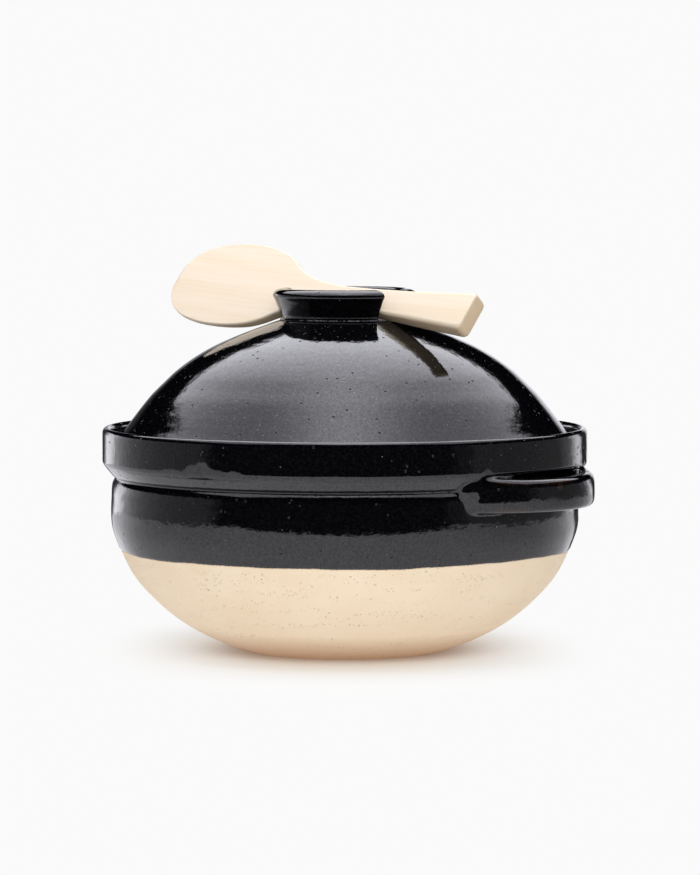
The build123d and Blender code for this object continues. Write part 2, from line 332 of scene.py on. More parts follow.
def makeGlaze(name, withClay, speckShare):
    # iron black stoneware glaze, dipped and fired glossy: deep black with slow waves, pits and pale grains;
    # bare buff clay below the dip line: matt, sandy to the eye, with small pores in loose rows; painted shade
    # in the pores and towards the foot
    material, tree = newMaterial(name)
    place = addNode(tree, "TexCoord")["Object"]
    g = ironGlaze
    across, up = 1000 / g["waveLength"], 1000 / g["waveHeight"]
    wavePlace = addNode(tree, "Mapping", {"Vector": place, "Scale": (across, across, up)})[0]
    waves = addNode(tree, "TexNoise", {"Vector": wavePlace, "Scale": 1.0, "Detail": 2.0, "Roughness": 0.45})
    peel = addNode(tree, "TexNoise", {"Vector": place, "Scale": 1000 / g["peelSize"], "Detail": 1.0})
    ripple = addNode(tree, "TexNoise", {"Vector": place, "Scale": 1000 / g["rippleSize"], "Detail": 2.0})
    pits = spots(tree, place, **g["pits"])
    specks = spots(tree, place, keep=speckShare, **g["specks"])
    thinness = addNode(tree, "Attribute", attribute_name="thinness")["Fac"]
    brown = addNode(tree, "TexNoise", {"Vector": place, "Scale": 1000 / g["brownSize"], "Detail": 3.0})
    whereThin = addNode(tree, "MapRange", {"Value": brown["Fac"], **g["brownWhereThin"]})[0]
    runs = addNode(tree, "MapRange", {"Value": brown["Fac"], **g["brownRuns"]})[0]
    thinGlaze = addNode(tree, "Math", {0: thinness, 1: whereThin}, operation="MULTIPLY")[0]
    thinGlaze = addNode(tree, "Math", {0: thinGlaze, 1: runs}, operation="MAXIMUM")[0]
    mottle = addNode(tree, "MapRange", {"Value": ripple["Fac"], **g["mottle"]})[0]
    colour = toLinear(g["colour"])
    coats = {"mottleColour": mottle, "thinColour": thinGlaze, "speckColour": specks, "colour": pits}
    for coat, share in coats.items():
        colour = addNode(tree, "Mix", {0: share, 6: colour, 7: toLinear(g[coat])}, data_type="RGBA")[2]
    roughness = addNode(tree, "Mix", {0: pits, 2: g["roughness"], 3: g["pitRoughness"]})[0]
    shine = addNode(tree, "MapRange", {"Value": ripple["Fac"], **g["shine"]})[0]
    layers = [
        (waves["Fac"], g["waveDepth"], 1.0, False), (peel["Fac"], g["peelDepth"], 1.0, False),
        (ripple["Fac"], g["rippleDepth"], 1.0, False), (pits, g["pitDepth"], 1.0, True),
    ]
    if withClay:
        c = buffClay
        height = addNode(tree, "Attribute", attribute_name="glazeHeight")["Fac"]
        ragged = addNode(tree, "TexNoise", {"Vector": place, "Scale": 1000 / c["edgeSize"], "Detail": 2.0})
        edge = addNode(tree, "Math", {0: ragged["Fac"], 1: c["edgeReach"], 2: height},
                       operation="MULTIPLY_ADD")[0]
        glazed = addNode(tree, "MapRange", {"Value": edge, **c["edgeLine"]})[0]
        stain = addNode(tree, "MapRange", {"Value": edge, **c["edgeStain"]})[0]
        cloud = addNode(tree, "TexNoise", {"Vector": place, "Scale": 1000 / c["cloudSize"], "Detail": 4.0,
                                           "Roughness": 0.6})
        warmth = addNode(tree, "MapRange", {"Value": cloud["Fac"], **c["warmth"]})[0]
        across, up = 1000 / c["rowLength"], 1000 / c["rowHeight"]
        rowPlace = addNode(tree, "Mapping", {"Vector": place, "Scale": (across, across, up)})[0]
        rows = addNode(tree, "TexNoise", {"Vector": rowPlace, "Scale": 1.0, "Detail": 2.0})
        inRow = addNode(tree, "MapRange", {"Value": rows["Fac"], **c["inRow"]})[0]
        flat = addNode(tree, "Mapping", {"Vector": place, "Scale": (1.0, 1.0, c["poreStretch"])})[0]
        pores = spots(tree, flat, **c["pores"])
        pores = addNode(tree, "Math", {0: pores, 1: inRow}, operation="MULTIPLY")[0]
        dots = spots(tree, place, **c["dots"])
        # the pores take the dark colour as painted shade in their hollows; the dots are iron specks
        marks = addNode(tree, "Math", {0: pores, 1: dots}, operation="MAXIMUM")[0]
        marks = addNode(tree, "Math", {0: marks, 1: c["markShare"]}, operation="MULTIPLY")[0]
        level = addNode(tree, "SeparateXYZ", {0: place})["Z"]
        # painted contact shade: the bare clay turns darker and browner over its lowest 14 mm
        foot = addNode(tree, "MapRange", {"Value": level, **c["footShadeFade"]})[0]
        clay = toLinear(c["colour"])
        coats = {"warmColour": warmth, "footColour": foot, "darkColour": marks, "stainColour": stain}
        for coat, share in coats.items():
            clay = addNode(tree, "Mix", {0: share, 6: clay, 7: toLinear(c[coat])}, data_type="RGBA")[2]
        colour = addNode(tree, "Mix", {0: glazed, 6: clay, 7: colour}, data_type="RGBA")[2]
        roughness = addNode(tree, "Mix", {0: glazed, 2: c["roughness"], 3: roughness})[0]
        grain = addNode(tree, "TexNoise", {"Vector": place, "Scale": 1000 / c["grainSize"], "Detail": 3.0,
                                           "Roughness": 0.65})
        bare = addNode(tree, "Math", {0: 1.0, 1: glazed}, operation="SUBTRACT")[0]
        layers += [(grain["Fac"], c["grainDepth"], bare, False), (pores, c["poreDepth"], bare, True)]
    normal = {}
    for height, depth, strength, sunk in layers:
        bump = {"Height": height, "Distance": depth * mm, "Strength": strength, **normal}
        normal = {"Normal": addNode(tree, "Bump", bump, invert=sunk)[0]}
    shader = addNode(tree, "BsdfPrincipled", {"Base Color": colour, "Roughness": roughness, "IOR": 1.5,
                                              "Specular IOR Level": shine, **normal})
    addNode(tree, "OutputMaterial", {"Surface": shader[0]})
    return material


beechWood = {
    "colour": "#f5e6d3",
    "grainColour": "#ebd3b1",
    "shadedEdgeColour": "#e8cfae",    # painted shade: cut edges and underside, darker and warmer
    "shadedEdgeDepth": {"From Min": -0.5, "From Max": -1.6},  # mm below the board's face
    "roughness": 0.5,
    # length and width in mm of what the wood's face shows, along and across the board, and how much it tints
    "patterns": {
        "grain": (60, 1.7, {"Detail": 4.0, "Roughness": 0.55, "Distortion": 0.3},
                  {"From Min": 0.42, "From Max": 0.72, "To Max": 0.4}),
        "broad": (140, 9, {"Detail": 2.0}, {"From Min": 0.4, "From Max": 0.7, "To Max": 0.3}),
        "flecks": (3.5, 0.35, {"Detail": 2.0}, {"From Min": 0.6, "From Max": 0.8, "To Max": 0.3}),
    },
    "grainDepth": 0.015,
}


def makeWood(name):
    # pale close-grained wood, planed and sanded: near white, faint lines along the board, a soft sheen, with
    # painted shade on its edges and underside
    material, tree = newMaterial(name)
    board = addNode(tree, "Attribute", attribute_name="boardPlace")["Vector"]
    w = beechWood
    shades, tint = {}, 0.0
    for pattern, (length, width, noise, limits) in w["patterns"].items():
        place = addNode(tree, "Mapping", {"Vector": board, "Scale": (1 / length, 1 / width, 1 / width)})[0]
        shades[pattern] = addNode(tree, "TexNoise", {"Vector": place, "Scale": 1.0, **noise})["Fac"]
        part = addNode(tree, "MapRange", {"Value": shades[pattern], **limits})[0]
        tint = addNode(tree, "Math", {0: tint, 1: part}, operation="ADD", use_clamp=True)[0]
    depth = addNode(tree, "SeparateXYZ", {0: board})["Z"]
    # painted shade: below the board's face the edges and underside take a darker, warmer colour
    edge = addNode(tree, "MapRange", {"Value": depth, **w["shadedEdgeDepth"]})[0]
    colour = toLinear(w["colour"])
    for coat, share in {"grainColour": tint, "shadedEdgeColour": edge}.items():
        colour = addNode(tree, "Mix", {0: share, 6: colour, 7: toLinear(w[coat])}, data_type="RGBA")[2]
    normal = {}
    for pattern in ("grain", "flecks"):
        bump = {"Height": shades[pattern], "Distance": w["grainDepth"] * mm, "Strength": 1.0, **normal}
        normal = {"Normal": addNode(tree, "Bump", bump)[0]}
    shader = addNode(tree, "BsdfPrincipled", {"Base Color": colour, "Roughness": w["roughness"], "IOR": 1.5,
                                              **normal})
    addNode(tree, "OutputMaterial", {"Surface": shader[0]})
    return material


glazedStoneware = makeGlaze("glazedStoneware", True, 0.03)
speckledGlaze = makeGlaze("speckledGlaze", True, 0.3)
blackGlaze = makeGlaze("blackGlaze", False, 0.03)
paleWood = makeWood("paleWood")
print("materials made")


# pot body: a thrown bowl with a tall collar, black above a dip line, with seats for both lids

pot = {
    "turns": 320,
    "base": [(0, 1.0), (34.5, 1.0), (36.6, 0.7), (37.6, 0.1), (38.6, 0), (46.8, 0), (48.4, 0.12), (50, 0.6)],
    "wall": [(50, 0.6), (57.9, 3), (69.7, 8.05), (81.95, 15.1), (94, 25.1), (104.7, 37.2), (112.1, 52.2),
             (115.2, 61.5), (115.75, 70), (115.5, 76.5), (115.3, 81.2), (115.05, 82.9)],
    "shoulder": [(115.05, 82.9), (114.8, 83.6), (114.45, 84.3), (114.1, 84.9)],
    "crease": [(114.1, 84.9), (113.85, 85.35), (113.8, 85.75), (114.15, 86.2)],
    "underside": [(114.15, 86.2), (115.3, 87.4), (117.0, 89.45), (118.7, 91.5)],
    "corner": [(118.7, 91.5), (119.4, 92.4), (119.8, 93.4), (119.95, 94.8)],
    "band": [(119.95, 94.8), (119.95, 107.4)],
    "lip": [(119.95, 107.4), (119.75, 108.9), (119.1, 110.0), (117.9, 110.45), (116.7, 110.05),
            (116.0, 109.1), (115.75, 107.6)],
    "collarInside": [(115.75, 107.6), (114.2, 95.2), (114.0, 94.2), (113.5, 93.65), (112.6, 93.5)],
    "seat": [(112.6, 93.5), (102.2, 93.5), (101.4, 93.3), (101.05, 92.7)],
    "step": [(101.05, 92.7), (101, 86.6), (100.9, 85.9), (100.4, 85.55)],
    "ledge": [(100.4, 85.55), (95.6, 85.5), (94.9, 85.2), (94.75, 84.5)],
    "bowl": [(94.75, 84.5), (97.2, 79), (99.8, 73), (101.5, 67), (102, 62), (101.2, 55), (95.9, 44.7),
             (84.3, 31.3), (68, 21.4), (49, 15.7), (34, 14.05)],
    "floor": [(34, 14.05), (18, 13.95), (0, 13.9)],
    "handleAngles": (3.4, 176.6),
    # the collar is cut back above each handle, fading out between these distances from the handle's middle;
    # the limits are heights
    "scoopReach": (44, 48),
    "collarRadius": 120,
    "scoopRise": 3.0,
    "riseLimits": (84.8, 93, 95, 107),
    "scoopInset": 3.6,
    "insetLimits": (83.6, 85.4, 86.0, 92),
    "crispRadius": 119.9,         # its lower edge stays sharp there
    "crispLimits": (88.5, 91.5, 94, 96),
    "outsideLine": ((84.6, 93.0), (112.9, 117.94)),  # heights and radii between the inner and the outer face
    "ringDepth": 0.012,
    # the dipped glaze ends in a slightly uneven line
    "dipLine": 50.3,
    "dipWaves": [(2, 0.5, 0.7), (5, 0.28, 2.1), (11, 0.14, 0.4), (23, 0.08, 1.9), (41, 0.05, 0.2)],
    "dipStep": 0.35,
    "dipEdge": (-0.5, 0.45),
    # where the glaze ran off the collar's lower edge: (angle, width in degrees, how far up it reaches)
    "meltMarks": [(-97, 2.2, 2.6), (-88, 4.2, 5.2), (-79, 3.4, 2.2), (-20, 5, 1.5), (60, 5, 4),
                  (150, 4, 3.5), (-150, 5, 2)],
    "meltLine": 93.2,
    "meltWaves": [(7, 0.5, 1), (13, 0.4, 2), (31, 0.25, 0)],
    "meltFrom": 92.5,
    "meltSlope": 0.13,
    "bareSeats": [(93.15, 93.85, 101.3, 113.4), (85.2, 85.8, 95, 100.4)],
    "bareBelow": 60,              # the clay is bare only below this, outside the line through the wall
    "wallLine": ((0, 14, 31, 62), (0, 70, 92, 108)),
    "baseTop": 12,
}
bareClay, fullGlaze = -2, 9       # values of glazeHeight well below and well above the dip line


def throwingMarks(reach, angle):
    # uneven ridges left by the fingers, from -1 to 1; reach is measured up the wall
    waves = [(5.3, 0.0, 0.9), (3.1, 2.2, 1.6), (8.9, 0.7, 0.6), (2.3, 4.0, 2.3), (13.7, 1.1, 0.4)]
    return sum(np.sin(2 * math.pi * reach / pitch + shift + lean * np.sin(angle + shift))
               for pitch, shift, lean in waves) / len(waves)


def scoopShare(angle):  # 1 above the handles, where the collar's underside is cut back, 0 elsewhere
    share = np.zeros_like(angle)
    for side in pot["handleAngles"]:
        turn = angle - math.radians(side)
        inside = 1 - blendTo(*pot["scoopReach"], abs(pot["collarRadius"] * np.sin(turn)))
        share = np.maximum(share, np.where(np.cos(turn) > 0, inside, 0))
    return share


def dipLineHeight(angle):
    return pot["dipLine"] + sumOfWaves(angle, pot["dipWaves"])


potLine, potZones = joinRuns(pot, {
    "base": 1.6, "wall": 1.05, "shoulder": 0.6, "crease": 0.6, "underside": 1.0, "corner": 0.55, "band": 1.1,
    "lip": 0.55, "collarInside": 1.6, "seat": 1.5, "step": 1.3, "ledge": 1.2, "bowl": 2.2, "floor": 2.5,
})


def reshapeScoop(angle, radius, height):  # cuts the collar's underside back above the handles
    share = np.where(radius > np.interp(height, *pot["outsideLine"]), scoopShare(angle), 0)
    radius = radius - pot["scoopInset"] * share * hill(pot["insetLimits"], height)
    radius = radius + (pot["crispRadius"] - radius) * share * hill(pot["crispLimits"], height)
    return radius, height + pot["scoopRise"] * share * hill(pot["riseLimits"], height)


def meltSink(angle, height):  # how far the collar's face falls back above its lower edge
    edge = pot["meltLine"] + sumOfWaves(angle, pot["meltWaves"])
    for place, width, reach in pot["meltMarks"]:
        turn = angle - math.radians(place)
        turn = np.degrees(np.arctan2(np.sin(turn), np.cos(turn)))
        edge = edge + reach * np.exp(-((turn / width) ** 2)) * (1 + 0.25 * np.sin(90 * angle))
    return pot["meltSlope"] * np.maximum(0, edge - np.maximum(height, pot["meltFrom"]))


def reshapePot(angle, radius, height):
    zone = potZones[:, None]
    radius, height = reshapeScoop(angle, radius, height)
    marks = np.isin(zone, ["wall", "shoulder", "band"])
    radius = radius - np.where(marks, pot["ringDepth"] * (1 + throwingMarks(height, angle)), 0)
    atEdge = np.isin(zone, ["corner", "band"])
    radius = radius - np.where(atEdge, meltSink(angle, height) * (1 - scoopShare(angle)), 0)
    bare = 1 - blendTo(*pot["dipEdge"], height - dipLineHeight(angle))
    radius = radius - np.where(np.isin(zone, ["base", "wall"]), pot["dipStep"] * bare, 0)
    return radius, np.maximum(height, 0)


potBody = addPiece(lathe("potBody", potLine, pot["turns"], reshapePot))
points = meshPoints(potBody)
outsideWall = np.hypot(points[:, 0], points[:, 1]) > np.interp(points[:, 2], *pot["wallLine"])
canBeBare = (outsideWall & (points[:, 2] < pot["bareBelow"])) | (points[:, 2] < pot["baseTop"])
overDipLine = points[:, 2] - dipLineHeight(np.arctan2(points[:, 1], points[:, 0]))
glazeHeight = np.where(canBeBare, overDipLine, fullGlaze)
for ring in pot["bareSeats"]:
    glazeHeight = np.where(inRing(points, *ring), bareClay, glazeHeight)
setAttribute(potBody, "glazeHeight", glazeHeight)
finishPiece(potBody, "pot", "pot_body", glazedStoneware, 0.12)


# handles: a round bar bowed out from the shoulder and rising into the collar, luted on

handle = {
    "curveCentre": 74.9,
    "pathRadius": 53.0,
    "endAngle": 64,
    "riseAngle": 60,
    "width": 12.6,
    "height": (15.8, 19.5),      # at its middle and at its ends
    "margin": 0.15,              # what softening takes off its top and underside
    "middleHeight": 82.9,
    "endLift": 1.6,
    "squareness": 0.48,          # 1 is an oval bar, less is squarer
    "steps": 60,
    "around": 40,
    "webTop": 86.5,
    "webBottom": 77.2,
    # the swellings that join its ends to the collar:
    # (turn, reach, height, (outwards, sideways, upwards, downwards))
    "endPads": [(-24.4, 113.4, 85.0, (5.8, 8.2, 15.5, 5.0)), (25.0, 113.6, 85.0, (6.2, 7.4, 11.5, 8.0))],
    "voxel": 0.8,
    "softening": 8,
    # the slice of the pot's skin that it melts into
    "skinHeights": (62, 104),
    "skinDepth": 0.3,
    "skinInside": 103,
    "skinTurns": 70,
    "skinSpread": 40,
    # what is kept of it: down to this depth in the pot, outside this radius, and outside the collar's foot
    "keptDepth": 0.45,
    "keptRadius": 108.2,
    "collarFoot": (117.5, 94.5),
}


def makeHandle(name, side, node):
    bm = bmesh.new()
    rings = []
    for i in range(handle["steps"] + 1):
        turn = math.radians(handle["endAngle"]) * (2 * i / handle["steps"] - 1)
        rise = min(1, (turn / math.radians(handle["riseAngle"])) ** 4)
        low, high = handle["height"]
        halfHeight = (low + (high - low) * rise) / 2 + handle["margin"]
        ring = []
        for k in range(handle["around"]):
            a = 2 * math.pi * (k + 0.5) / handle["around"]
            out = math.copysign(abs(math.cos(a)) ** handle["squareness"], math.cos(a))
            up = math.copysign(abs(math.sin(a)) ** handle["squareness"], math.sin(a))
            reach = handle["pathRadius"] + handle["width"] / 2 * out
            z = handle["middleHeight"] + handle["endLift"] * rise + halfHeight * up
            x, y = handle["curveCentre"] + reach * math.cos(turn), reach * math.sin(turn)
            ring.append(bm.verts.new((x, y, z)))
        rings.append(ring)
    closeTube(bm, rings)
    top, bottom = handle["webTop"], handle["webBottom"]
    web = bmesh.ops.create_cone(bm, cap_ends=True, segments=96, radius1=handle["pathRadius"],
                                radius2=handle["pathRadius"], depth=top - bottom)
    bmesh.ops.translate(bm, verts=web["verts"], vec=(handle["curveCentre"], 0, (top + bottom) / 2))
    for turn, reach, height, size in handle["endPads"]:
        pad = bmesh.ops.create_icosphere(bm, subdivisions=4, radius=1)["verts"]
        for v in pad:
            v.co = (size[0] * v.co.x, size[1] * v.co.y, size[2 if v.co.z > 0 else 3] * v.co.z)
        bmesh.ops.translate(bm, verts=pad, vec=(reach, 0, height))
        bmesh.ops.rotate(bm, verts=pad, matrix=Matrix.Rotation(math.radians(turn), 3, "Z"))
    bmesh.ops.rotate(bm, verts=bm.verts, matrix=Matrix.Rotation(math.radians(side), 3, "Z"))
    bmesh.ops.scale(bm, verts=bm.verts, vec=(mm, mm, mm))
    bmesh.ops.recalc_face_normals(bm, faces=bm.faces)
    # a slice of the pot's own skin, just under its surface, so that the joint rounds into it
    outerZones = ("wall", "shoulder", "crease", "underside", "corner", "band")
    lowest, highest = handle["skinHeights"]
    onSkin = np.isin(potZones, outerZones) & (potLine[:, 1] > lowest) & (potLine[:, 1] < highest)
    skin = potLine[onSkin][::2]
    deep = [(handle["skinInside"], skin[-1][1]), (handle["skinInside"], skin[0][1])]
    skinLine = np.vstack([skin - [handle["skinDepth"], 0], deep])
    spread = handle["skinSpread"]
    bm.from_mesh(lathe("skin", skinLine, handle["skinTurns"], reshapeScoop, closed=True,
                       start=math.radians(side - spread), sweep=math.radians(2 * spread)))
    piece = addPiece(toMesh(bm, name))
    soften(piece, handle["voxel"], handle["softening"])
    # keeps only what stands out of the pot
    tree = BVHTree.FromObject(potBody, bpy.context.evaluated_depsgraph_get())
    footRadius, footHeight = handle["collarFoot"]
    bm = bmesh.new()
    bm.from_mesh(piece.data)
    hidden = []
    for v in bm.verts:
        place, normal, index, distance = tree.find_nearest(v.co)
        inside = (v.co - place).dot(normal) < 0 and distance > handle["keptDepth"] * mm
        r, z = math.hypot(v.co.x, v.co.y) / mm, v.co.z / mm
        if inside or r < handle["keptRadius"] or (r < footRadius and z > footHeight):
            hidden.append(v)
    bmesh.ops.delete(bm, geom=hidden, context="VERTS")
    bmesh.ops.delete(bm, geom=[v for v in bm.verts if not v.link_faces], context="VERTS")
    bm.to_mesh(piece.data)
    bm.free()
    shadeSmooth(piece.data)
    finishPiece(piece, "pot", node, blackGlaze, 0.12)


makeHandle("handleRight", pot["handleAngles"][0], "handle_right")
makeHandle("handleLeft", pot["handleAngles"][1], "handle_left")


# outer lid: a thrown dome with a flat crown and one steam hole at the back

dome = {
    "turns": 320,
    "outside": [(0, 163.6), (24, 163.6), (31.5, 163.3), (40.3, 160.3), (54.5, 154.9), (65.1, 150.1),
                (75.5, 144), (83.3, 138.2), (89.8, 132.1), (95.35, 126.6), (100.3, 120.6), (104.3, 115.4),
                (107.5, 111.1), (110.1, 107.7), (111.6, 105.2), (112.3, 101.6), (112.4, 96.4)],
    "edge": [(112.4, 96.4), (112.35, 94.6), (112.0, 93.9), (111.3, 93.6)],
    "foot": [(111.3, 93.6), (106.2, 93.6)],
    "inside": [(106.2, 93.6), (105.5, 94.1), (105.4, 96.2), (104, 103.4), (101, 110), (89.9, 123),
               (78.8, 133.4), (62.2, 143.8), (46.5, 150.4), (32, 155.3), (22, 155.7), (0, 155.7)],
    "holeOffset": 66,
    "holeRadius": 5.5,
    "holeLip": 1.4,
    "ringDepth": 0.014,
    "ringsFrom": 31,             # the crown inside the knob is plain
    "ringSpread": 1.1,
    "ringSlope": 0.4,            # how far the marks move outwards for each mm down the dome
    "sinkShare": 0.7,            # of the depth, both inwards and down
    "bareFoot": (93, 94.3, 105.6, 112.2),
}
domeLine, domeZones = joinRuns(dome, {"outside": 1.05, "edge": 0.6, "foot": 1.3, "inside": 2.4})


def reshapeDome(angle, radius, height):
    marked = np.isin(domeZones[:, None], ["outside"]) & (radius > dome["ringsFrom"])
    reach = radius + dome["ringSlope"] * (dome["outside"][0][1] - height)
    depth = dome["ringDepth"] * (1 + throwingMarks(dome["ringSpread"] * reach, angle))
    sink = dome["sinkShare"] * np.where(marked, depth, 0)
    return radius - sink, height - sink


def holeCutter(centreX, centreY, holeRadius, topHeight, bottomHeight, lip):
    # a plug that flares at both faces, so that the hole's edges are rounded; heights are functions of x, y
    bm = bmesh.new()
    rings, around = [], 64
    flare = [(lip * 1.25, -0.5), (lip * 0.75, 0.0), (lip * 0.35, 0.3), (lip * 0.1, 0.7), (0, 1.2)]
    flares = [(*point, False) for point in flare] + [(*point, True) for point in flare[::-1]]
    for out, inward, atTop in flares:
        ring = []
        for k in range(around):
            a = 2 * math.pi * k / around
            x = centreX + (holeRadius + out) * math.cos(a)
            y = centreY + (holeRadius + out) * math.sin(a)
            z = topHeight(x, y) - inward * lip if atTop else bottomHeight(x, y) + inward * lip
            ring.append(bm.verts.new((x * mm, y * mm, z * mm)))
        rings.append(ring)
    closeTube(bm, rings)
    bmesh.ops.recalc_face_normals(bm, faces=bm.faces)
    return toMesh(bm, "holeCutter")


def heightOf(points):  # height of a face of revolution above a point x, y
    ordered = np.array(sorted(smoothRun(points, 1.0).tolist()))
    return lambda x, y: float(np.interp(math.hypot(x, y), ordered[:, 0], ordered[:, 1]))


outerLidDome = addPiece(lathe("outerLidDome", domeLine, dome["turns"], reshapeDome))
cutAway(outerLidDome, holeCutter(0, dome["holeOffset"], dome["holeRadius"], heightOf(dome["outside"]),
                                 heightOf(dome["inside"][3:]), dome["holeLip"]))
onFoot = inRing(meshPoints(outerLidDome), *dome["bareFoot"])
setAttribute(outerLidDome, "glazeHeight", np.where(onFoot, bareClay, fullGlaze))
finishPiece(outerLidDome, "outer_lid", "outer_lid_dome", speckledGlaze, 0.12)


# knob on the outer lid: a flared ring cut through by the paddle's slot

knob = {
    "ring": [(33.0, 163.1), (32.0, 163.7), (31.5, 164.4), (31.5, 165.2), (31.9, 166.3), (33.1, 169.3),
             (34.3, 172.3), (34.95, 173.9), (35.5, 174.8), (35.75, 175.6), (35.5, 176.6), (34.8, 177.5),
             (33.6, 178.3), (32.1, 178.8), (30.6, 178.95), (29.0, 178.6), (28.1, 177.7), (27.6, 176.5),
             (25.6, 170.5), (23.3, 165), (21.8, 163.2)],
    "turns": 200,
    "slotWidth": 18.4,
    "slotAngle": -4.5,
    "margin": 0.1,               # what softening takes off its cut faces
    "voxel": 0.5,
    "softening": 4,
}


def makeKnobHalf(name, front, node):
    mesh = lathe(name, smoothRun(knob["ring"], 1.0), knob["turns"], closed=True)
    piece = addPiece(mesh)
    bm = bmesh.new()
    bm.from_mesh(mesh)
    turn = math.radians(knob["slotAngle"] + (180 if front else 0))
    across = Vector((-math.sin(turn), math.cos(turn), 0))
    bmesh.ops.bisect_plane(bm, geom=bm.verts[:] + bm.edges[:] + bm.faces[:], clear_inner=True,
                           plane_co=across * (knob["slotWidth"] / 2 - knob["margin"]) * mm, plane_no=across)
    bmesh.ops.holes_fill(bm, edges=[e for e in bm.edges if e.is_boundary])
    bmesh.ops.recalc_face_normals(bm, faces=bm.faces)
    bm.to_mesh(mesh)
    bm.free()
    soften(piece, knob["voxel"], knob["softening"])
    finishPiece(piece, "outer_lid", node, blackGlaze, 0.45)


makeKnobHalf("lidKnobFront", True, "lid_knob_front")
makeKnobHalf("lidKnobBack", False, "lid_knob_back")


# inner lid: a shallow dished plate with two steam holes and a button knob

innerLid = {
    "turns": 200,
    "top": [(0, 101.6), (12, 101.5), (25, 101.0), (50, 98.7), (75, 95.2), (90, 93.2), (97.3, 92.6)],
    "edge": [(97.3, 92.6), (98.7, 92.2), (99.4, 91.2), (99.5, 90.2), (99.5, 86.6), (99.2, 85.85),
             (98.5, 85.6)],
    "foot": [(98.5, 85.6), (89.2, 85.6)],
    "hollow": [(89.2, 85.6), (87.5, 86.0), (78, 89), (60, 92), (40, 93.6), (20, 94.05), (0, 94.1)],
    "holeOffset": 46,
    "holeRadius": 5,
    "holeLip": 1.2,
    "ringPitch": 6.1,
    "ringDepth": 0.02,
    "bareFoot": (85, 86.2, 88.5, 99.3),
    "knob": [(0, 116.6), (7, 116.55), (12.3, 116.3), (14.6, 115.3), (15.5, 113.3), (15.4, 111.6), (14.2, 110),
             (12.2, 108.9), (11.2, 107.4), (11.0, 105), (11.3, 102.8), (12.6, 101.5), (14.5, 101.0)],
    "knobFoot": [0, 101.0],
    "knobTurns": 96,
}
plateLine, plateZones = joinRuns(innerLid, {"top": 1.6, "edge": 0.7, "foot": 1.6, "hollow": 2.4})


def reshapePlate(angle, radius, height):
    ring = 1 + np.sin(2 * math.pi * radius / innerLid["ringPitch"] + angle)
    marked = np.isin(plateZones[:, None], ["top", "hollow"])
    return radius, height - np.where(marked, innerLid["ringDepth"] * ring, 0)


innerLidPlate = addPiece(lathe("innerLidPlate", plateLine, innerLid["turns"], reshapePlate))
for offset in (innerLid["holeOffset"], -innerLid["holeOffset"]):
    cutAway(innerLidPlate, holeCutter(offset, 0, innerLid["holeRadius"], heightOf(innerLid["top"]),
                                      heightOf(innerLid["hollow"]), innerLid["holeLip"]))
onFoot = inRing(meshPoints(innerLidPlate), *innerLid["bareFoot"])
setAttribute(innerLidPlate, "glazeHeight", np.where(onFoot, bareClay, fullGlaze))
finishPiece(innerLidPlate, "inner_lid", "inner_lid_plate", glazedStoneware, 0.12)

knobLine = np.vstack([smoothRun(innerLid["knob"], 0.7), [innerLid["knobFoot"]]])
innerLidKnob = addPiece(lathe("innerLidKnob", knobLine, innerLid["knobTurns"]))
finishPiece(innerLidKnob, "inner_lid", "inner_lid_knob", blackGlaze, 0.2)


# rice paddle: cut from a board, its upper face flat, its edges rounded by sanding

paddle = {
    "length": 193.0,
    "bladeWidth": 50.0,
    # outline and thickness: (share of the length from the blade's tip, share of the blade's width or mm)
    "blade": [(0.0, 0.0), (0.0012, 0.19), (0.0045, 0.32), (0.014, 0.475), (0.040, 0.695), (0.080, 0.86),
              (0.135, 0.965), (0.205, 1.0), (0.27, 0.96), (0.32, 0.875), (0.36, 0.73), (0.385, 0.605),
              (0.41, 0.495), (0.44, 0.405), (0.48, 0.335), (0.54, 0.277), (0.65, 0.274), (0.77, 0.312),
              (0.89, 0.375), (1.0, 0.436)],
    "thickness": [(0, 1.8), (0.02, 2.1), (0.205, 2.9), (0.50, 6.8), (0.73, 7.0), (0.82, 8.7), (1.0, 9.6)],
    "tipShare": 0.03,            # its cross sections lie closer at the tip, where the outline turns fastest,
    "endShare": 0.016,           # and at the grip's end
    "sections": (24, 190, 10),
    "around": 48,
    "edgeRound": 0.24,           # of the thickness
    "endRound": 2.6,
    "tipTaper": (0.3, 1.0),      # thinner by this share at the very tip, over so many mm
    "endTaper": (0.12, 0.9),
    "slotReach": 112.2,          # how it lies: this far from its tip it crosses the pot's axis
    "neckDepth": 3.7,
    "roll": 51,
    "pitch": 3.4,
    "lean": 1.0,
    "height": 172.85,
}


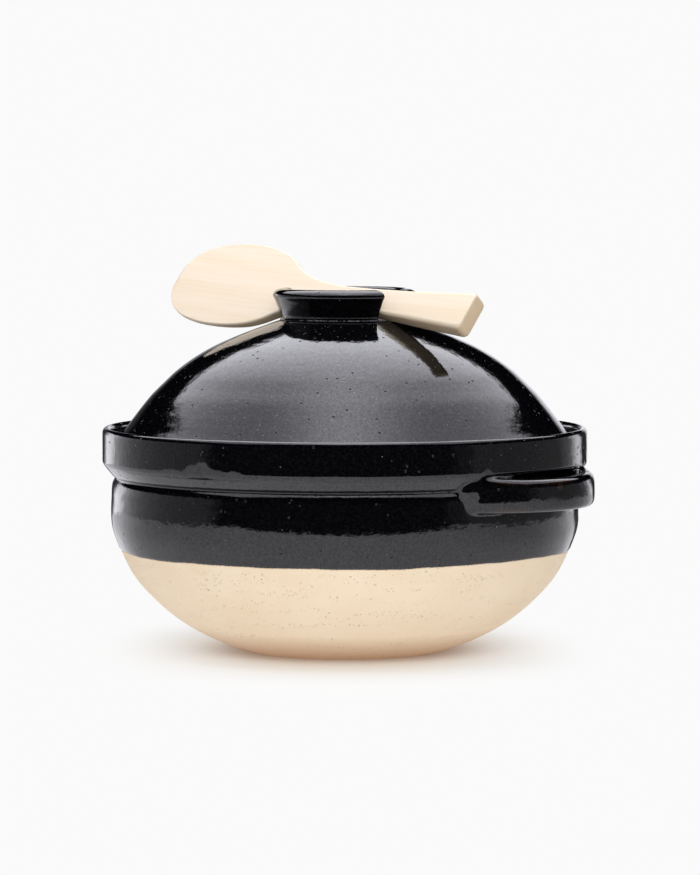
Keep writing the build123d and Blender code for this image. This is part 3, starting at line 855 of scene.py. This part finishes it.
def makePaddle():
    length, share, places = paddle["length"], paddle["tipShare"], paddle["sections"]
    along = np.concatenate([
        share * np.linspace(0, 1, places[0]) ** 2, np.linspace(share, 1, places[1])[1:-1],
        1 - paddle["endShare"] * np.linspace(1, 0, places[2]) ** 2,
    ])
    along = np.unique(np.round(along, 6))
    outline = smoothRun([(a * length, w * paddle["bladeWidth"] / 2) for a, w in paddle["blade"]], 0.4)
    thickness = np.array(paddle["thickness"])
    (tipThin, tipRun), (endThin, endRun) = paddle["tipTaper"], paddle["endTaper"]
    endRound = paddle["endRound"]
    bm = bmesh.new()
    rings = []
    for a in along:
        x = a * length
        half = max(0.05, float(np.interp(x, outline[:, 0], outline[:, 1])))
        fromEnd = length - x
        if fromEnd < endRound:
            half -= endRound - math.sqrt(max(0, endRound ** 2 - (endRound - fromEnd) ** 2))
        thick = float(np.interp(a, thickness[:, 0], thickness[:, 1]))
        corner = min(thick * paddle["edgeRound"], half * 0.98)
        taper = endThin * (1 - min(1, fromEnd / endRun)) ** 2 + tipThin * (1 - min(1, x / tipRun)) ** 2
        ring = []
        for k in range(paddle["around"]):
            t = 2 * math.pi * (k + 0.5) / paddle["around"]
            c, s = math.cos(t), math.sin(t)
            y = math.copysign(half - corner, c) + corner * c
            z = math.copysign(thick / 2 - corner, s) + corner * s
            ring.append(bm.verts.new((x, y, z * (1 - taper) - thick / 2)))
        rings.append(ring)
    closeTube(bm, rings)
    bmesh.ops.recalc_face_normals(bm, faces=bm.faces)
    mesh = toMesh(bm, "ricePaddle")
    board = mesh.attributes.new("boardPlace", "FLOAT_VECTOR", "POINT")
    board.data.foreach_set("vector", np.array([v.co for v in mesh.vertices], np.float32).ravel())
    slot = Matrix.Rotation(math.radians(knob["slotAngle"]), 4, "Z")
    lifted = Matrix.Translation((0, paddle["lean"], paddle["height"]))
    pitched = Matrix.Rotation(math.radians(paddle["pitch"]), 4, "Y")
    rolled = Matrix.Rotation(math.radians(paddle["roll"]), 4, "X")
    centred = Matrix.Translation((-paddle["slotReach"], 0, paddle["neckDepth"]))
    mesh.transform(Matrix.Diagonal((mm, mm, mm, 1)) @ slot @ lifted @ pitched @ rolled @ centred)
    shadeSmooth(mesh)
    return mesh


finishPiece(addPiece(makePaddle()), "paddle", "rice_paddle", paleWood)


# floor, lights and camera

studio = {
    "cameraPlace": (1.4464, -1.9152, 0.264),
    "cameraTarget": (0.0020, 0.0015, 0.105),
    "cameraTurn": 37,
    "lens": 199.9,
    "paperLevel": 0.956,          # as bright as the page in the photograph
    "ambient": 0.65,
    # the page round the pot stays white, and keeps the pot's shadow close to it
    "shadowShape": (1.0, 0.55, 0.0),
    "shadowFade": {"From Min": 0.04, "From Max": 0.13, "To Min": 0.05},
    # past the table the room is dim, so that little light comes from below
    "paperFade": {"From Min": 0.2, "From Max": 0.45, "To Min": 0.92, "To Max": 0.06},
    "paperGlow": {"From Min": 0.2, "From Max": 0.5, "To Min": 0.4, "To Max": 0.0},
    # what the glaze mirrors, all of it plain and even
    "tableSide": (0.78, 0.8),     # metres from the pot to where the table starts to end, and ends
    "tableFront": (-0.5, -0.52),
    "tableRear": (0.75, 0.77),
    "tableTint": (0.99, 0.98, 1.03, 1),
    "boxTint": (0.98, 0.98, 1.06, 1),
    "boxLevel": 1.7,
    "streakLevel": 2.6,
    "streakWidth": 0.35,
    "streakWidening": 0.6,
    # the overhead box's edges: (starts to fade, ends), in tangents from straight up
    "boxSide": (1.12, 1.3),
    "boxRear": (1.35, 1.6),
    "boxFront": (-0.62, -0.85),
    "boxRearDim": {"From Min": 0.6, "From Max": 1.2, "To Min": 1.0, "To Max": 0.85},
    "lowestBox": 0.03,
    "horizonTop": (0.12, 0.2),
    # light and dark flags round the horizon: (degrees from the camera's side, to the left negative, level)
    "horizon": [(-180, 0.5), (-172, 0.3), (-168, 0.05), (-160, 0.05), (-157, 0.17), (-153, 1.06), (-150, 2.2),
                (-140, 2.4), (-136, 1.35), (-129, 1.0), (-118, 0.62), (-106, 0.47), (-91, 0.36), (-70, 0.3),
                (-66, 0.15), (-62, 0.02), (49, 0.02), (52, 0.1), (59, 0.12), (62, 0.25), (111, 0.22),
                (116, 0.18), (121, 0.27), (130, 0.45), (134, 1.2), (138, 1.8), (143, 1.95), (146, 1.0),
                (148, 0.04), (161, 0.05), (164, 1.0), (180, 1.2)],
    "table": [(-180, 0.08), (-160, 0.08), (-156, 1.05), (-150, 1.1), (-135, 1.38), (-120, 1.17), (-105, 0.95),
              (-90, 0.97), (-75, 1.13), (-60, 1.22), (-45, 1.37), (0, 1.45), (45, 1.27), (60, 1.1), (75, 0.9),
              (90, 0.74), (105, 0.77), (120, 0.86), (135, 1.14), (144, 1.14), (148, 0.08), (180, 0.08)],
    "floorRings": [(0, 0), (150, 0), (400, 0), (900, 0), (2000, 0), (9000, 0)],
    "floorDrop": 0.00002,         # metres, so that the floor and the pot's foot don't share a plane
    # (name, place, size, watts)
    "lamps": [("overhead", (0, 0, 1.8), 1.6, 16.8), ("front", (1.1, -1.45, 0.9), 1.2, 10)],
    "lampTarget": (0, 0, 0.1),
}


def aim(thing, place, target):
    thing.location = place
    thing.rotation_euler = (Vector(target) - Vector(place)).to_track_quat("-Z", "Y").to_euler()


camera = addPiece(bpy.data.cameras.new("camera"))
aim(camera, studio["cameraPlace"], studio["cameraTarget"])
camera.data.lens = studio["lens"]
bpy.context.scene.camera = camera

bpy.context.scene.view_settings.view_transform = "Standard"

floor = addPiece(lathe("floor", np.array(studio["floorRings"]), 96))
floor.location.z = -studio["floorDrop"]


def levelRound(tree, place, levels):  # the level of light from each side of the pot
    axes = addNode(tree, "SeparateXYZ", {0: place})
    front = addNode(tree, "Math", {0: axes["Y"], 1: -1}, operation="MULTIPLY")[0]
    angle = addNode(tree, "Math", {0: axes["X"], 1: front}, operation="ARCTAN2")[0]
    share = addNode(tree, "MapRange", {"Value": angle, "From Min": -math.pi, "From Max": math.pi})[0]
    highest = max(level for degrees, level in levels)
    ring = addNode(tree, "ValToRGB", {0: share})[0]
    stops = ring.node.color_ramp.elements
    for degrees, level in levels[1:-1]:
        stops.new(degrees / 360 + 0.5)
    for stop, (degrees, level) in zip(stops, levels):
        stop.position = degrees / 360 + 0.5
        stop.color = (level / highest, level / highest, level / highest, 1)
    return addNode(tree, "Math", {0: ring, 1: highest}, operation="MULTIPLY")[0]


def fadePast(tree, level, edges):  # the level fades to 0 past each edge, given as (value, start, end)
    for value, start, end in edges:
        inside = addNode(tree, "MapRange", {"Value": value, "From Min": start, "From Max": end, "To Min": 1.0,
                                            "To Max": 0.0}, interpolation_type="SMOOTHSTEP")[0]
        level = addNode(tree, "Math", {0: level, 1: inside}, operation="MULTIPLY")[0]
    return level


floorMaterial, tree = newMaterial("paperSweep")
# places and directions as seen from the camera: x to the right, y away from it
turn = math.radians(-studio["cameraTurn"])
position = addNode(tree, "NewGeometry")["Position"]
turned = addNode(tree, "VectorRotate", {"Vector": position, "Angle": turn}, rotation_type="Z_AXIS")[0]
rays = addNode(tree, "LightPath")
squeezed = addNode(tree, "VectorMath", {0: turned, 1: studio["shadowShape"]}, operation="MULTIPLY")[0]
distance = addNode(tree, "VectorMath", {0: squeezed}, operation="LENGTH")["Value"]
fade = addNode(tree, "MapRange", {"Value": distance, **studio["shadowFade"]},
               interpolation_type="SMOOTHSTEP")[0]
lightness = addNode(tree, "MapRange", {"Value": distance, **studio["paperFade"]})[0]
paper = addNode(tree, "BsdfDiffuse", {"Color": lightness})[0]
white = addNode(tree, "Emission", {"Strength": studio["paperLevel"]})[0]
seen = addNode(tree, "MixShader", {0: fade, 1: paper, 2: white})[0]
# what the glaze mirrors: the table's top, and past its edges the dark floor with the lights round it
axes = addNode(tree, "SeparateXYZ", {0: turned})
side = addNode(tree, "Math", {0: axes["X"]}, operation="ABSOLUTE")[0]
onTable = fadePast(tree, 1.0, [
    (side, *studio["tableSide"]), (axes["Y"], *studio["tableFront"]), (axes["Y"], *studio["tableRear"]),
])
mirroredLevel = addNode(tree, "Mix", {0: onTable, 2: levelRound(tree, turned, studio["horizon"]),
                                      3: levelRound(tree, turned, studio["table"])})[0]
mirrored = addNode(tree, "Emission", {"Color": studio["tableTint"], "Strength": mirroredLevel})[0]
glow = addNode(tree, "MapRange", {"Value": distance, **studio["paperGlow"]})[0]
lit = addNode(tree, "MixShader", {0: glow, 1: paper, 2: white})[0]
others = addNode(tree, "MixShader", {0: rays["Is Glossy Ray"], 1: lit, 2: mirrored})[0]
surface = addNode(tree, "MixShader", {0: rays["Is Camera Ray"], 1: others, 2: seen})[0]
addNode(tree, "OutputMaterial", {"Surface": surface})
floor.data.materials.append(floorMaterial)

world = bpy.data.worlds.new("studio")
bpy.context.scene.world = world
world.use_nodes = True
tree = world.node_tree
tree.nodes.clear()
direction = addNode(tree, "TexCoord")["Generated"]
turned = addNode(tree, "VectorRotate", {"Vector": direction, "Angle": turn}, rotation_type="Z_AXIS")[0]
axes = addNode(tree, "SeparateXYZ", {0: turned})
height = addNode(tree, "Math", {0: axes["Z"], 1: studio["lowestBox"]}, operation="MAXIMUM")[0]
across = addNode(tree, "Math", {0: axes["X"], 1: height}, operation="DIVIDE")[0]
across = addNode(tree, "Math", {0: across}, operation="ABSOLUTE")[0]
back = addNode(tree, "Math", {0: axes["Y"], 1: height}, operation="DIVIDE")[0]
# a wide soft box overhead, brightest along its middle, in a streak that widens to the rear
behind = addNode(tree, "Math", {0: back, 1: 0.0}, operation="MAXIMUM")[0]
streak = addNode(tree, "Math", {0: behind, 1: studio["streakWidening"], 2: studio["streakWidth"]},
                 operation="MULTIPLY_ADD")[0]
offStreak = addNode(tree, "Math", {0: across, 1: streak}, operation="DIVIDE")[0]
offStreak = addNode(tree, "Math", {0: offStreak, 1: 2.0}, operation="POWER")[0]
glow = addNode(tree, "Math", {0: offStreak, 1: -1}, operation="MULTIPLY")[0]
glow = addNode(tree, "Math", {0: glow}, operation="EXPONENT")[0]
box = addNode(tree, "Math", {0: glow, 1: studio["streakLevel"], 2: studio["boxLevel"]},
              operation="MULTIPLY_ADD")[0]
rearDim = addNode(tree, "MapRange", {"Value": back, **studio["boxRearDim"]})[0]
box = addNode(tree, "Math", {0: box, 1: rearDim}, operation="MULTIPLY")[0]
box = fadePast(tree, box, [
    (across, *studio["boxSide"]), (back, *studio["boxRear"]), (back, *studio["boxFront"]),
])
band = fadePast(tree, levelRound(tree, turned, studio["horizon"]), [(axes["Z"], *studio["horizonTop"])])
studioLevel = addNode(tree, "Math", {0: box, 1: band}, operation="ADD")[0]
paperWhite = (1, 1, 1, 1)
ambient = addNode(tree, "Background", {"Color": paperWhite, "Strength": studio["ambient"]})[0]
reflected = addNode(tree, "Background", {"Color": studio["boxTint"], "Strength": studioLevel})[0]
backdrop = addNode(tree, "Background", {"Color": paperWhite, "Strength": studio["paperLevel"]})[0]
rays = addNode(tree, "LightPath")
shown = addNode(tree, "MixShader", {0: rays["Is Glossy Ray"], 1: ambient, 2: reflected})[0]
shown = addNode(tree, "MixShader", {0: rays["Is Camera Ray"], 1: shown, 2: backdrop})[0]
addNode(tree, "OutputWorld", {"Surface": shown})

for name, place, size, watts in studio["lamps"]:
    lamp = addPiece(bpy.data.lights.new(name, "AREA"))
    aim(lamp, place, studio["lampTarget"])
    lamp.data.size, lamp.data.energy = size, watts
    lamp.visible_camera = False
    lamp.visible_glossy = False
print("studio made")
